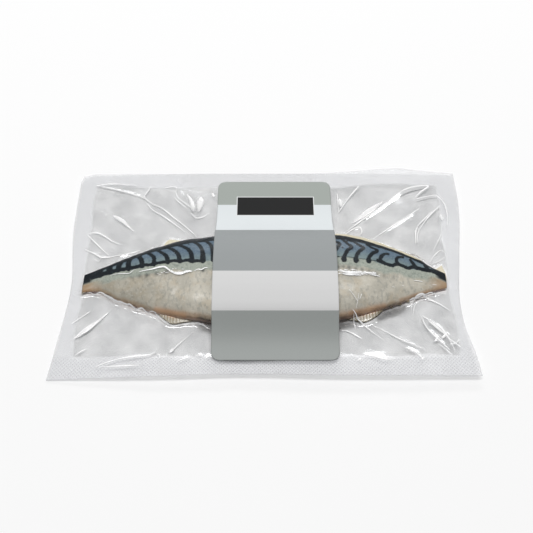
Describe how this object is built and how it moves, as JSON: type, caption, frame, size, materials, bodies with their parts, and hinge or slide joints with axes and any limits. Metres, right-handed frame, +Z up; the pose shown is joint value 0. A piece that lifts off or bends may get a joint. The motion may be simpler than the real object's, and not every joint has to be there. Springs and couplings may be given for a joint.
{
  "type": "vacuum-packed mackerel fillets",
  "caption": "Flat sealed clear vacuum pouch holding mackerel fillets skin side up, thick ends overlapping under a banded label.",
  "frame": {"origin": "middle of the pouch in plan, on the surface that the pack rests on", "axes": "+X along the pouch's long side towards the lower fillet's tail, +Y across it towards the backs of the fish, +Z up out of the labelled side"},
  "size_m": [0.2501, 0.1503, 0.0201],
  "materials": {
    "fish": "wet striped fish skin, dark blue-green back and silvery belly",
    "pouch_film": "clear glossy vacuum film, frosted with a fine embossed mesh at the seals",
    "label_paper": "matte printed paper in plain grey and off-white bands"
  },
  "bodies": {
    "root": {"fillet_lower": "fish", "fillet_upper": "fish", "pouch_base_film": "pouch_film", "pouch_top_film": "pouch_film", "label": "label_paper"}
  },
  "joints": []
}
